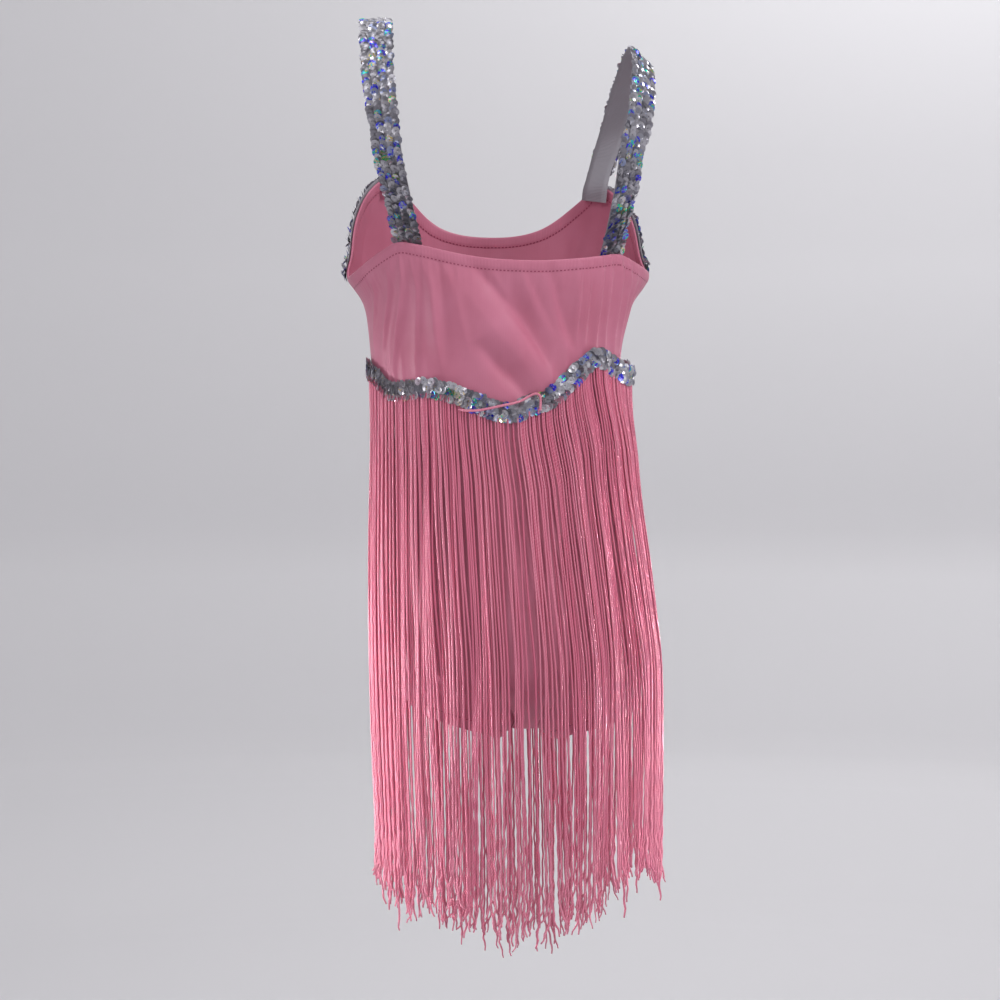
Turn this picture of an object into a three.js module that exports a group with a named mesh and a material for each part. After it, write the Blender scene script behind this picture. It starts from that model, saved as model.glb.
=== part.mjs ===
// A child's tap dance costume, as it hangs on a wearer: a sleeveless leotard with short
// legs, sequin straps over the shoulders, a wavy sequin trim under the bust and a 400 mm
// fringe below it. Millimetres, +Z up, the wearer faces -Y and their left side is +X.
// The origin lies midway between the shoulders, about level with where the straps rest.
import * as THREE from "three";

// Driving dimensions.
const CLOTH = 1.2; // wall of the stretch cloth
const SEAM = 0.3; // gap between two pieces
const BINDING_WIDTH = 9; // turned edges at the neck, armholes and legs
const BINDING = { inner: -1.5, outer: 0.4 }; // a turned edge is a little proud on both faces
const STRAP = { width: 26, thick: 1.6 };
const TRIM = { width: 17, inner: 2.9, outer: 4.2 }; // sequin band over the fringe's header
const ARM_TRIM = { width: 12, inner: 1.6, outer: 2.9 }; // sequin band on a front armhole edge
const HEADER = { width: 11, inner: 0.8, outer: 2.4, below: 2 }; // woven tape of the fringe
const STRAND = { length: 391, width: 2.2, thick: 2, count: 72 }; // count is for each half
const HIP_DROP = 500; // below this the cloth turns under between the legs
const CROTCH_ANGLE = 84; // where the leg edge meets the crotch seam, from the side seam

const ROUND = 2.3; // squareness of the body's sections, where 2 is an ellipse
const DEGREE = Math.PI / 180;
const MM_PER_DEGREE = 1.7; // of the girth, near the armholes

// The cloth's outer face, by the drop below the shoulders.
const BODY = [
  { drop: 90, centre: 4, halfWidth: 108, back: 70, front: 72 },
  { drop: 140, centre: 6, halfWidth: 116, back: 77, front: 81 },
  { drop: 170, centre: 7, halfWidth: 117, back: 80, front: 85 },
  { drop: 197, centre: 7, halfWidth: 113, back: 79, front: 85 },
  { drop: 215, centre: 7, halfWidth: 107, back: 77, front: 83 },
  { drop: 250, centre: 9, halfWidth: 100.5, back: 72, front: 78 },
  { drop: 300, centre: 7.5, halfWidth: 98, back: 67, front: 73 },
  { drop: 340, centre: 5, halfWidth: 96.5, back: 67, front: 72 },
  { drop: 380, centre: 2, halfWidth: 98, back: 72, front: 74 },
  { drop: 420, centre: -2, halfWidth: 101, back: 82, front: 77 },
  { drop: 460, centre: -5, halfWidth: 104, back: 91, front: 79 },
  { drop: 500, centre: -8, halfWidth: 104, back: 94, front: 78 },
];

// The armhole is pulled out into a small wing under each arm.
const WING = { drop: 197, reach: 7, height: 15 };

// Top edges of the two panels, by the angle from the wearer's left side seam.
const BACK_TOP = [
  { angle: 0, drop: 198 },
  { angle: 16, drop: 195 },
  { angle: 32, drop: 185 },
  { angle: 47, drop: 175 },
  { angle: 60, drop: 180 },
  { angle: 78, drop: 188 },
  { angle: 96, drop: 191 },
  { angle: 116, drop: 188 },
  { angle: 137, drop: 182 },
  { angle: 150, drop: 187 },
  { angle: 166, drop: 191 },
  { angle: 180, drop: 191 },
];
const FRONT_TOP = [
  { angle: 0, drop: 198 },
  { angle: 5, drop: 184 },
  { angle: 12, drop: 155 },
  { angle: 20, drop: 133 },
  { angle: 30, drop: 117 },
  { angle: 42, drop: 106 },
  { angle: 56, drop: 124 },
  { angle: 72, drop: 146 },
  { angle: 90, drop: 153 },
  { angle: 108, drop: 147 },
  { angle: 124, drop: 128 },
  { angle: 138, drop: 111 },
  { angle: 150, drop: 121 },
  { angle: 160, drop: 136 },
  { angle: 168, drop: 156 },
  { angle: 175, drop: 178 },
  { angle: 180, drop: 191 },
];
// The angles of each panel's two top corners, and how many columns of cloth lie in each share
// of it: armhole, to the crotch, the crotch, back up to the corner, armhole.
const CORNERS = { back: [47, 137], front: [42, 138] };
const COLUMNS = { back: [10, 9, 4, 10, 9], front: [9, 8, 4, 8, 9] };

// Soft folds that the straps and the trim pull into the back, from the top end to the low end.
const FOLDS = [
  { angle: 69, drop: 203, toAngle: 104, toDrop: 283, width: 9, height: 3.4 },
  { angle: 64, drop: 225, toAngle: 84, toDrop: 286, width: 8, height: 2.4 },
  { angle: 53, drop: 195, toAngle: 60, toDrop: 262, width: 8, height: 2 },
  { angle: 40, drop: 196, toAngle: 29, toDrop: 268, width: 7, height: 2 },
  { angle: 98, drop: 206, toAngle: 118, toDrop: 256, width: 8, height: 2 },
  { angle: 133, drop: 200, toAngle: 141, toDrop: 246, width: 7, height: 1.8 },
];

// Centre line of the sequin trim all round the body, and how far it stands off the cloth.
const TRIM_LINE = [
  { angle: 0, drop: 268, stand: 0 },
  { angle: 19, drop: 278, stand: 0 },
  { angle: 31, drop: 288, stand: 0 },
  { angle: 43, drop: 289, stand: 0 },
  { angle: 57, drop: 287.5, stand: 0 },
  { angle: 68, drop: 291.5, stand: 0 },
  { angle: 80, drop: 300, stand: 0 },
  { angle: 90, drop: 307, stand: 0 },
  { angle: 98, drop: 301, stand: 0 },
  { angle: 105, drop: 297, stand: 0 },
  { angle: 118, drop: 280, stand: 0 },
  { angle: 131, drop: 263.5, stand: 0 },
  { angle: 141, drop: 266, stand: 1 },
  { angle: 150, drop: 271, stand: 2 },
  { angle: 166, drop: 275, stand: 5 },
  { angle: 180, drop: 272, stand: 8 },
  { angle: 196, drop: 266, stand: 8 },
  { angle: 212, drop: 281, stand: 4 },
  { angle: 232, drop: 314, stand: 0 },
  { angle: 252, drop: 339, stand: 0 },
  { angle: 270, drop: 346, stand: 0 },
  { angle: 288, drop: 338, stand: 0 },
  { angle: 310, drop: 310, stand: 0 },
  { angle: 334, drop: 279, stand: 0 },
  { angle: 360, drop: 268, stand: 0 },
];

// The ring that the fringe hangs on, by the drop below the shoulders.
const FRINGE_RING = [
  { drop: 262, centre: 4, halfWidth: 104, back: 76, front: 80 },
  { drop: 300, centre: 3.5, halfWidth: 105, back: 72, front: 78 },
  { drop: 356, centre: 2, halfWidth: 107, back: 76, front: 80 },
  { drop: 420, centre: -1.7, halfWidth: 111.5, back: 92, front: 84 },
  { drop: 460, centre: -4.2, halfWidth: 114, back: 100, front: 86 },
  { drop: 500, centre: -6.8, halfWidth: 116, back: 104, front: 86 },
  { drop: 560, centre: -8, halfWidth: 115.5, back: 104, front: 85 },
  { drop: 650, centre: -9.5, halfWidth: 113.5, back: 102, front: 84 },
  { drop: 760, centre: -10, halfWidth: 113, back: 100, front: 83 },
];
const STRAND_LEVELS = [0.13, 0.3, 0.52, 1]; // shares of a strand's length below the header

// Half of each leg edge, from the side seam to the crotch seam: where the cloth that comes down
// at an angle ends, measured from the legs' centre line, and which way it runs as it gets there.
const LEGS_CENTRE = -12;
const LEG_EDGE = {
  back: [
    { angle: -20, x: 87, y: -36, drop: 526, outX: 0, outY: 0 },
    { angle: 0, x: 93, y: 0, drop: 522, outX: 0, outY: 0 },
    { angle: 20, x: 87, y: 36, drop: 528, outX: 0, outY: 0 },
    { angle: 38, x: 71, y: 63, drop: 534, outX: 0, outY: 0 },
    { angle: 52, x: 51, y: 73, drop: 540, outX: 0, outY: -0.1 },
    { angle: 63, x: 32, y: 66, drop: 546, outX: 0.1, outY: -0.3 },
    { angle: 72, x: 20, y: 46, drop: 553, outX: 0.6, outY: -0.3 },
    { angle: 79, x: 15, y: 24, drop: 556, outX: 0.9, outY: -0.1 },
    { angle: 84, x: 13, y: 0.2, drop: 556, outX: 1, outY: 0 },
  ],
  front: [
    { angle: -20, x: 87, y: -32, drop: 528, outX: 0, outY: 0 },
    { angle: 0, x: 93, y: 0, drop: 522, outX: 0, outY: 0 },
    { angle: 20, x: 87, y: 32, drop: 526, outX: 0, outY: 0 },
    { angle: 38, x: 71, y: 54, drop: 531, outX: 0, outY: 0 },
    { angle: 52, x: 51, y: 62, drop: 537, outX: 0, outY: -0.1 },
    { angle: 63, x: 32, y: 56, drop: 544, outX: 0.1, outY: -0.3 },
    { angle: 72, x: 20, y: 40, drop: 552, outX: 0.6, outY: -0.3 },
    { angle: 79, x: 15, y: 21, drop: 556, outX: 0.9, outY: -0.1 },
    { angle: 84, x: 13, y: 0.2, drop: 556, outX: 1, outY: 0 },
  ],
};

// Each strap's middle line, from inside the back's turned edge, over the shoulder, to inside the
// front's. lean is how far the band faces away from the neck, in degrees.
const STRAPS = {
  left: [
    { x: 81, y: 57.2, drop: 190, lean: 31 },
    { x: 83, y: 60.4, drop: 177, lean: 33 },
    { x: 86, y: 66, drop: 162, lean: 35 },
    { x: 92.3, y: 76, drop: 139, lean: 36 },
    { x: 98.4, y: 81, drop: 114, lean: 34 },
    { x: 101.5, y: 80, drop: 90, lean: 30 },
    { x: 104.6, y: 72, drop: 61, lean: 24 },
    { x: 106, y: 54, drop: 32, lean: 15 },
    { x: 106, y: 30, drop: 8, lean: 7 },
    { x: 105, y: 5, drop: -5, lean: 4 },
    { x: 104, y: -20, drop: -1, lean: 6 },
    { x: 102, y: -43, drop: 18, lean: 12 },
    { x: 98, y: -58, drop: 48, lean: 22 },
    { x: 92.5, y: -58.5, drop: 82, lean: 32 },
    { x: 88, y: -50.1, drop: 108, lean: 38 },
    { x: 86, y: -52, drop: 121, lean: 38 },
  ],
  right: [
    { x: -73, y: 55, drop: 196, lean: 32 },
    { x: -75, y: 56.2, drop: 184, lean: 33 },
    { x: -77.5, y: 63.5, drop: 168, lean: 36 },
    { x: -79.7, y: 73, drop: 152, lean: 37 },
    { x: -83.2, y: 79, drop: 132, lean: 36 },
    { x: -87.5, y: 79, drop: 104, lean: 36 },
    { x: -95, y: 69, drop: 77, lean: 37 },
    { x: -100, y: 52, drop: 52, lean: 39 },
    { x: -104, y: 29, drop: 30, lean: 42 },
    { x: -106, y: 5, drop: 18, lean: 43 },
    { x: -105, y: -20, drop: 22, lean: 41 },
    { x: -101, y: -42, drop: 40, lean: 38 },
    { x: -95, y: -57, drop: 66, lean: 36 },
    { x: -87, y: -57.5, drop: 90, lean: 36 },
    { x: -79.5, y: -49.3, drop: 113, lean: 38 },
    { x: -78, y: -51, drop: 126, lean: 38 },
  ],
};

const colours = {
  cloth: { color: 0xd87f99, roughness: 0.6, metalness: 0 },
  binding: { color: 0xdc869f, roughness: 0.55, metalness: 0 },
  sequin: { color: 0xb4b8c4, roughness: 0.25, metalness: 0.8 },
  strand: { color: 0xde8aa2, roughness: 0.5, metalness: 0 },
};

// A smooth curve through a table's rows: cubic pieces whose slopes follow the rows on each side.
function through(rows, from, to) {
  const slope = rows.map((row, i) => {
    const before = rows[Math.max(i - 1, 0)];
    const after = rows[Math.min(i + 1, rows.length - 1)];
    return (after[to] - before[to]) / (after[from] - before[from]);
  });
  return (value) => {
    let i = 0;
    while (i < rows.length - 2 && value > rows[i + 1][from]) i += 1;
    const [a, b] = [rows[i], rows[i + 1]];
    const step = b[from] - a[from];
    const t = THREE.MathUtils.clamp((value - a[from]) / step, 0, 1);
    const rise = t * t * (3 - 2 * t);
    const bend = t * (1 - t) * step * (slope[i] * (1 - t) - slope[i + 1] * t);
    return a[to] * (1 - rise) + b[to] * rise + bend;
  };
}

// One smooth curve for each named column of a table.
function curves(rows, from, names) {
  return Object.fromEntries(names.map((name) => [name, through(rows, from, name)]));
}

const ringNames = ["centre", "halfWidth", "back", "front"];
const body = curves(BODY, "drop", ringNames);
const fringeRing = curves(FRINGE_RING, "drop", ringNames);
const trimLine = curves(TRIM_LINE, "angle", ["drop", "stand"]);

// Each top edge in three lengths, so that it keeps its two corners.
function topEdge(rows, [first, second]) {
  const edges = [rows.filter(({ angle }) => angle <= first)];
  edges.push(rows.filter(({ angle }) => angle >= first && angle <= second));
  edges.push(rows.filter(({ angle }) => angle >= second));
  const parts = edges.map((edge) => through(edge, "angle", "drop"));
  return (angle) => parts[Number(angle > first) + Number(angle > second)](angle);
}
const top = { back: topEdge(BACK_TOP, CORNERS.back), front: topEdge(FRONT_TOP, CORNERS.front) };
const legNames = ["x", "y", "drop", "outX", "outY"];
const leg = {
  back: curves(LEG_EDGE.back, "angle", legNames),
  front: curves(LEG_EDGE.front, "angle", legNames),
};

// A point on a ring at an angle: a rounded section with its own depth at the back and the front.
function onRing(ring, angle, drop) {
  const [c, s] = [Math.cos(angle * DEGREE), Math.sin(angle * DEGREE)];
  const depth = s > 0 ? ring.back(drop) : ring.front(drop);
  const x = Math.sign(c) * Math.abs(c) ** (2 / ROUND) * ring.halfWidth(drop);
  const y = Math.sign(s) * Math.abs(s) ** (2 / ROUND) * depth;
  return new THREE.Vector3(ring.centre(drop) + x, y, -drop);
}

// The way out from the body at an angle.
function outward(angle) {
  return new THREE.Vector3(Math.cos(angle * DEGREE), Math.sin(angle * DEGREE), 0);
}

// How far the folds raise the cloth of the back at a place. Each fades towards its ends.
function foldHeight(angle, drop) {
  return FOLDS.reduce((sum, fold) => {
    const alongX = (fold.toAngle - fold.angle) * MM_PER_DEGREE;
    const alongY = fold.toDrop - fold.drop;
    const x = (angle - fold.angle) * MM_PER_DEGREE;
    const y = drop - fold.drop;
    const length = Math.hypot(alongX, alongY);
    const share = (x * alongX + y * alongY) / length ** 2;
    const away = (x * alongY - y * alongX) / length / fold.width;
    if (share < 0 || share > 1) return sum;
    return sum + fold.height * Math.sin(Math.PI * share) ** 0.8 * Math.exp(-away * away);
  }, 0);
}

// The cloth's outer face on the torso. Angles run from the wearer's left side seam over the back.
function torso(angle, drop) {
  const point = onRing(body, angle, drop);
  const c = Math.cos(angle * DEGREE);
  const wing = Math.exp(-(((drop - WING.drop) / WING.height) ** 2));
  point.x += Math.sign(c) * Math.abs(c) ** 8 * WING.reach * wing;
  if (angle > 0 && angle < 180) point.addScaledVector(outward(angle), foldHeight(angle, drop));
  return point;
}

// The unit vector across a surface at (u, v), from small steps to each side of it.
function normalAt(surface, u, v, side) {
  const small = 1e-3;
  const along = surface(u + small, v).sub(surface(u - small, v));
  const down = surface(u, v + small).sub(surface(u, v - small));
  return down.cross(along).normalize().multiplyScalar(side);
}

// A closed mesh from points and triangles, turned so that its faces point outwards.
function solid(points, triangles) {
  const volume = triangles.reduce((sum, [a, b, c]) => {
    const across = new THREE.Vector3().crossVectors(points[b], points[c]);
    return sum + points[a].dot(across);
  }, 0);
  const faces = volume < 0 ? triangles.map(([a, b, c]) => [a, c, b]) : triangles;
  const geometry = new THREE.BufferGeometry().setFromPoints(points);
  geometry.setIndex(faces.flat());
  geometry.computeVertexNormals();
  return geometry;
}

// The corners and faces of a wall: a surface moved by inner and by outer along its normals, and
// closed by rims. With round the last column meets the first. Where open(i) is true the low rim
// between columns i and i + 1 is left open for what grows from it.
function wallFaces(surface, us, vs, { inner, outer }, { side = 1, round = false, open = () => false }) {
  const [columns, rows] = [us.length, vs.length];
  const points = [outer, inner].flatMap((offset) =>
    us.flatMap((u) =>
      vs.map((v) => surface(u, v).addScaledVector(normalAt(surface, u, v, side), offset)),
    ),
  );
  const at = (i, j, layer) => (layer * columns + (i % columns)) * rows + j;
  const faces = [];
  const quad = (a, b, c, d) => faces.push([a, b, c], [a, c, d]);
  const end = rows - 1;
  for (let i = 0; i < (round ? columns : columns - 1); i += 1) {
    for (let j = 0; j < end; j += 1) {
      quad(at(i, j, 0), at(i, j + 1, 0), at(i + 1, j + 1, 0), at(i + 1, j, 0));
      quad(at(i, j, 1), at(i + 1, j, 1), at(i + 1, j + 1, 1), at(i, j + 1, 1));
    }
    quad(at(i, 0, 0), at(i + 1, 0, 0), at(i + 1, 0, 1), at(i, 0, 1));
    if (!open(i)) quad(at(i, end, 0), at(i, end, 1), at(i + 1, end, 1), at(i + 1, end, 0));
  }
  const last = columns - 1;
  for (let j = 0; j < end && !round; j += 1) {
    quad(at(0, j, 0), at(0, j, 1), at(0, j + 1, 1), at(0, j + 1, 0));
    quad(at(last, j, 0), at(last, j + 1, 0), at(last, j + 1, 1), at(last, j, 1));
  }
  return { points, faces, at, quad };
}

function wall(surface, us, vs, offsets, options = {}) {
  const { points, faces } = wallFaces(surface, us, vs, offsets, options);
  return solid(points, faces);
}

// Evenly spaced numbers from a to b, both included.
function steps(a, b, count) {
  return Array.from({ length: count + 1 }, (_, i) => a + ((b - a) * i) / count);
}

const costume = new THREE.Group();
function add(name, geometry, colour) {
  const mesh = new THREE.Mesh(geometry, new THREE.MeshStandardMaterial(colours[colour]));
  mesh.name = name;
  costume.add(mesh);
}

// The columns of a panel's grid, as angles from the wearer's left side seam.
function columnAngles(face) {
  const [first, second] = CORNERS[face];
  const keys = [0, first, CROTCH_ANGLE, 180 - CROTCH_ANGLE, second, 180];
  return COLUMNS[face].flatMap((count, i) => steps(keys[i], keys[i + 1], count).slice(i ? 1 : 0));
}

// Where a column of a panel ends, at the leg edge or at the crotch seam, and the way it runs.
function hemPlace(face, angle) {
  const mirror = angle > 90 ? -1 : 1;
  const fromSide = Math.min(angle, 180 - angle);
  const inSeam = Math.max(0, fromSide - CROTCH_ANGLE) / (90 - CROTCH_ANGLE);
  const edge = leg[face];
  const facing = face === "back" ? 1 : -1;
  const x = mirror * edge.x(fromSide) * (1 - inSeam);
  const run = new THREE.Vector3(mirror * edge.outX(fromSide), facing * edge.outY(fromSide), -0.75);
  const seamward = Math.max(
    THREE.MathUtils.smoothstep(fromSide, CROTCH_ANGLE - 6, CROTCH_ANGLE) / 2,
    THREE.MathUtils.smoothstep(inSeam, -0.5, 0.5),
  );
  return {
    point: new THREE.Vector3(LEGS_CENTRE + x, facing * edge.y(fromSide), -edge.drop(fromSide)),
    run: run.normalize(),
    seamward: fromSide < CROTCH_ANGLE - 6 ? 0 : seamward,
  };
}

// A turned edge reaches further down where the edge is steep, so that it keeps its width.
function bindingDrop(face, angle) {
  const rise = top[face](Math.min(angle + 1, 180)) - top[face](Math.max(angle - 1, 0));
  const nearSide = THREE.MathUtils.smoothstep(Math.min(angle, 180 - angle), 0, 8);
  const slope = (rise / (2 * MM_PER_DEGREE)) * nearSide;
  return BINDING_WIDTH * Math.sqrt(1 + Math.min(slope * slope, 2));
}

// A whole panel: row 0 is its top seam, 1 the hip and 2 the leg edge.
function panelPlace(face, angle, row) {
  const facing = face === "back" ? 1 : -1;
  const start = top[face](angle) + bindingDrop(face, angle) + SEAM;
  const at = (share) => torso(facing * angle, start + (HIP_DROP - start) * share);
  if (row <= 1) return at(row);
  const { point, run, seamward } = hemPlace(face, angle);
  const hip = at(1);
  const reach = hip.distanceTo(point);
  const leave = at(1).sub(at(0.98)).normalize();
  const arrive = run.clone().lerp(new THREE.Vector3(0, -facing, 0), seamward).normalize();
  const t = row - 1;
  return hip
    .multiplyScalar((1 + 2 * t) * (1 - t) ** 2)
    .addScaledVector(leave, t * (1 - t) ** 2 * reach)
    .addScaledVector(point, t * t * (3 - 2 * t))
    .addScaledVector(arrive, t * t * (t - 1) * reach);
}

// The back and the front of the leotard, each one piece from its top edge to the crotch seam,
// and the turned edges above it.
const panelRows = { back: [...steps(0, 1, 12), ...steps(1, 2, 5).slice(1)] };
panelRows.front = [...steps(0, 1, 12), ...steps(1, 2, 4).slice(1)];
const seamAngle = SEAM / 2 / MM_PER_DEGREE;
for (const face of ["back", "front"]) {
  const facing = face === "back" ? 1 : -1;
  const angles = columnAngles(face);
  const cloth = (angle, row) => panelPlace(face, THREE.MathUtils.clamp(angle, 0, 180), row);
  const panel = wall(cloth, angles, panelRows[face], { inner: -CLOTH, outer: 0 }, { side: facing });
  add(`leotard_${face}`, panel.translate(0, (facing * SEAM) / 2, 0), "cloth");

  const edge = (angle, share) =>
    torso(facing * angle, top[face](angle) + share * bindingDrop(face, angle));
  const [first, second] = CORNERS[face];
  const lengths = [
    { name: `armhole_edge_${face}_left`, from: 0, to: first },
    { name: `neck_edge_${face}`, from: first, to: second },
    { name: `armhole_edge_${face}_right`, from: second, to: 180 },
  ];
  for (const { name, from, to } of lengths) {
    const inside = angles.filter((angle) => angle > from && angle < to);
    const us = [from + seamAngle, ...inside, to - seamAngle];
    add(name, wall(edge, us, [0, 0.5, 1], BINDING, { side: facing }), "binding");
  }
}

// The turned edge round each leg, from the side seam round the back to the crotch and back round
// the front. Its place runs from 0 to 1 along the back half and on to 2 along the front half.
for (const [side, mirror] of [["left", 1], ["right", -1]]) {
  const place = (u) => {
    const face = u < 1 ? "back" : "front";
    const fromSide = CROTCH_ANGLE * (1 - Math.abs(1 - u));
    return hemPlace(face, mirror > 0 ? fromSide : 180 - fromSide);
  };
  const edge = (u, across) => {
    const { point, run } = place((u + 2) % 2);
    return point.addScaledVector(run, SEAM + across * BINDING_WIDTH);
  };
  const legAngles = (face) => columnAngles(face).filter((angle) => angle <= CROTCH_ANGLE);
  const us = legAngles("back").map((angle) => angle / CROTCH_ANGLE);
  us.push(...legAngles("front").map((angle) => 2 - angle / CROTCH_ANGLE).reverse().slice(1, -1));
  add(`leg_edge_${side}`, wall(edge, us, [0, 1], BINDING, { side: mirror, round: true }), "binding");
}

// The two sequin straps.
for (const side of ["left", "right"]) {
  const rows = STRAPS[side].map((row, i) => ({ ...row, at: i }));
  const line = curves(rows, "at", ["x", "y", "drop", "lean"]);
  const middle = (u) => new THREE.Vector3(line.x(u), line.y(u), -line.drop(u));
  const last = rows.length - 1;
  const band = (u, across) => {
    const ahead = middle(Math.min(u + 0.01, last)).sub(middle(Math.max(u - 0.01, 0))).normalize();
    const away = new THREE.Vector3(Math.sign(line.x(u)), 0, 0);
    const flat = away.addScaledVector(ahead, -away.dot(ahead)).normalize();
    const out = new THREE.Vector3().crossVectors(ahead, flat).multiplyScalar(Math.sign(line.x(u)));
    const lean = line.lean(u) * DEGREE;
    const width = flat.multiplyScalar(Math.cos(lean)).addScaledVector(out, -Math.sin(lean));
    return middle(u).addScaledVector(width, (across * STRAP.width) / 2);
  };
  const half = { inner: -STRAP.thick / 2, outer: STRAP.thick / 2 };
  add(`strap_${side}`, wall(band, steps(0, last, 2 * last), [-1, 0, 1], half), "sequin");
}

// A band on the cloth that follows the trim's line, from one side of it to the other.
function alongTrim(angle, below) {
  const slope = (trimLine.drop(angle + 1) - trimLine.drop(angle - 1)) / (2 * MM_PER_DEGREE);
  const drop = trimLine.drop(angle) + below * Math.sqrt(1 + slope * slope);
  return torso(angle > 180 ? angle - 360 : angle, drop).addScaledVector(
    outward(angle),
    trimLine.stand(angle),
  );
}

// The sequin trim's two halves.
const halves = [
  { face: "back", from: seamAngle, to: 180 - seamAngle },
  { face: "front", from: 180 + seamAngle, to: 360 - seamAngle },
];
for (const { face, from, to } of halves) {
  const band = (angle, across) => alongTrim(angle, (across * TRIM.width) / 2);
  add(`trim_${face}`, wall(band, steps(from, to, 48), [-1, 1], TRIM), "sequin");
}

// The sequin band along each front armhole edge, up to the strap.
for (const [side, from, to] of [["left", 2.5, 41], ["right", 139, 177.5]]) {
  const band = (angle, share) => {
    const wide = bindingDrop("front", angle) / BINDING_WIDTH;
    return torso(-angle, top.front(angle) + wide * (0.6 + share * ARM_TRIM.width));
  };
  add(`armhole_trim_${side}`, wall(band, steps(from, to, 18), [0, 0.5, 1], ARM_TRIM, { side: -1 }), "sequin");
}

// A number between -1 and 1 that is always the same for the same strand.
function uneven(i, salt) {
  const wave = Math.sin(i * 12.9898 + salt * 78.233) * 43758.5453;
  return 2 * (wave - Math.floor(wave)) - 1;
}

// The fringe's two halves: a woven header under the trim, whose low rim runs out into strands.
// Neighbouring strands sway together, and every other one hangs a little further out.
for (const { face, from, to } of halves) {
  const band = (angle, below) => alongTrim(angle, HEADER.below + below);
  const us = steps(from, to, 2 * STRAND.count);
  const rows = [-HEADER.width / 2, HEADER.width / 2];
  const { points, faces, at, quad } = wallFaces(band, us, rows, HEADER, { open: (i) => i % 2 === 0 });
  for (let i = 0; i < 2 * STRAND.count; i += 2) {
    const angle = (us[i] + us[i + 1]) / 2;
    const root = trimLine.drop(angle) + HEADER.below + HEADER.width / 2;
    const length = STRAND.length + 7 * uneven(i, face.length) + 4 * Math.sin(angle * 0.16);
    let ring = [at(i, 1, 0), at(i + 1, 1, 0), at(i + 1, 1, 1), at(i, 1, 1)];
    for (const share of STRAND_LEVELS) {
      const sway = 1.3 * Math.sin(angle * 0.11 + 2) + 0.7 * Math.sin(angle * 0.31);
      const swung = angle + sway * share;
      const out = outward(angle);
      const aside = new THREE.Vector3(-out.y, out.x, 0);
      const centre = onRing(fringeRing, swung, root + length * share);
      centre.addScaledVector(out, (i % 4 ? 1.3 : -1.1) + 0.5 * trimLine.stand(angle) * (1 - share));
      const taper = share === 1 ? 0.6 : 1;
      const first = points.length;
      for (const [a, b] of [[-1, 1], [1, 1], [1, -1], [-1, -1]])
        points.push(
          centre
            .clone()
            .addScaledVector(aside, (a * taper * STRAND.width) / 2)
            .addScaledVector(out, (b * taper * STRAND.thick) / 2),
        );
      const next = [first, first + 1, first + 2, first + 3];
      for (let k = 0; k < 4; k += 1) quad(ring[(k + 1) % 4], ring[k], next[k], next[(k + 1) % 4]);
      ring = next;
    }
    quad(...ring.reverse());
  }
  add(`fringe_${face}`, solid(points, faces), "strand");
}

export default costume;
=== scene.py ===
# A child's tap dance costume, as worn: a pink stretch leotard, sequin straps over the shoulders,
# a wavy sequin trim under the bust and a long fringe of twisted cord below it. The frame's
# origin is between the shoulders, +Z is up and the wearer faces -Y. Shapes are worked out in
# millimetres and turned to metres as they become meshes.
import math

import bpy
import numpy as np
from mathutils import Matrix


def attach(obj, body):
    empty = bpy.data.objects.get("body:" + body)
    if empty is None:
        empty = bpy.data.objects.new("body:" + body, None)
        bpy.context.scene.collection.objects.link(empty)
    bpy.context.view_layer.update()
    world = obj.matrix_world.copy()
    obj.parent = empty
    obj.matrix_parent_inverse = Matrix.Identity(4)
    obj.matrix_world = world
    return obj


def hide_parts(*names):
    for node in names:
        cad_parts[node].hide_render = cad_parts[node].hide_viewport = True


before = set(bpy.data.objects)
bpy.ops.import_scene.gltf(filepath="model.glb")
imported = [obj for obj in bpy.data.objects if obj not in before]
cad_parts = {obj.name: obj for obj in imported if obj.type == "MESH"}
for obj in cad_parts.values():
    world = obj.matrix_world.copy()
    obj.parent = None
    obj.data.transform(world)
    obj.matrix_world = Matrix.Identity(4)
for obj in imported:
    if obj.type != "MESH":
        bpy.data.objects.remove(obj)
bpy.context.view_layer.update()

# ---- The view -------------------------------------------------------------------------------
# The costume is seen from behind, level with its middle and turned 6 degrees to the wearer's
# left, from 1.6 m away. The frame takes in 0.8 m at the body's middle plane.
VIEW_TURN = math.radians(6)
VIEW_TARGET = (0.0056, 0.0, -0.3736)
VIEW_DISTANCE = 1.6

view = bpy.data.objects.new("view", bpy.data.cameras.new("view"))
bpy.context.collection.objects.link(view)
view.data.sensor_width = 36
view.data.lens = 72
view.location = (
    VIEW_TARGET[0] + VIEW_DISTANCE * math.sin(VIEW_TURN),
    VIEW_DISTANCE * math.cos(VIEW_TURN),
    VIEW_TARGET[2],
)
view.rotation_euler = (math.pi / 2, 0, math.pi - VIEW_TURN)
bpy.context.scene.camera = view
bpy.context.scene.view_settings.view_transform = "Standard"

# ---- The leotard ----------------------------------------------------------------------------
# Nylon and elastane swimwear knit, cut as a back and a front, each one piece from its top edge
# to the crotch seam, and sewn at the sides. It is stretched over the body, and the straps and
# the trim pull it into soft slanting folds across the back.
#
# The cloth's outer face: drop below the shoulders, centre, half width, depth behind, in front.
BODY = [
    (90, 4, 108, 70, 72), (140, 6, 116, 77, 81), (170, 7, 117, 80, 85), (197, 7, 113, 79, 85),
    (215, 7, 107, 77, 83), (250, 9, 100.5, 72, 78), (300, 7.5, 98, 67, 73), (340, 5, 96.5, 67, 72),
    (380, 2, 98, 72, 74), (420, -2, 101, 82, 77), (460, -5, 104, 91, 79), (500, -8, 104, 94, 78),
]
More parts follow.
